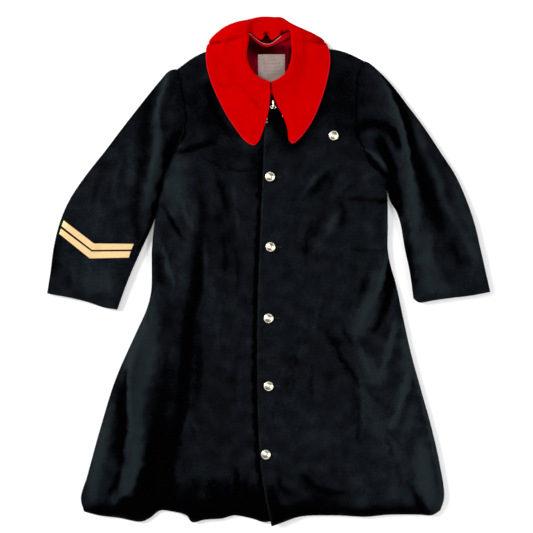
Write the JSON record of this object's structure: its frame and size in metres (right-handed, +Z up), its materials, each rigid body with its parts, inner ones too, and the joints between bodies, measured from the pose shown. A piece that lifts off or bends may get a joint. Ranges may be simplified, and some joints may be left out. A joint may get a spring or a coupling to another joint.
{
  "type": "military greatcoat",
  "caption": "Long black wool military cloak coat with sleeves, laid flat and buttoned, with a wide scarlet collar, a lace chevron on one forearm and domed brass buttons.",
  "frame": {"origin": "middle of the underside, on the surface that the coat lies on", "axes": "+X to the right of someone who looks down on the front, +Y from the hem to the collar, +Z up out of the front"},
  "size_m": [1.155, 1.3266, 0.0315],
  "materials": {
    "wool": "black milled wool with a short matt nap",
    "scarlet_cloth": "scarlet milled wool with a short nap",
    "lining": "plain woven red lining",
    "label_cloth": "woven cotton label, faded, no print",
    "gold_lace": "ribbed gold lace with a soft sheen",
    "brass": "polished brass, lightly tarnished in the hollows"
  },
  "bodies": {
    "root": {"back": "wool", "front_right": "wool", "front_left": "wool", "sleeve_right_top": "wool", "sleeve_right_under": "wool", "sleeve_left_top": "wool", "sleeve_left_under": "wool", "collar": "scarlet_cloth", "back_neck_lining": "lining", "hanger_loop": "scarlet_cloth", "label": "label_cloth", "button_1": "brass", "button_2": "brass", "button_3": "brass", "button_4": "brass", "button_5": "brass", "button_chest": "brass", "chevron_backing": "lining", "lace_bar_upper": "gold_lace", "lace_bar_lower": "gold_lace", "throat_hook": "brass"}
  },
  "joints": []
}
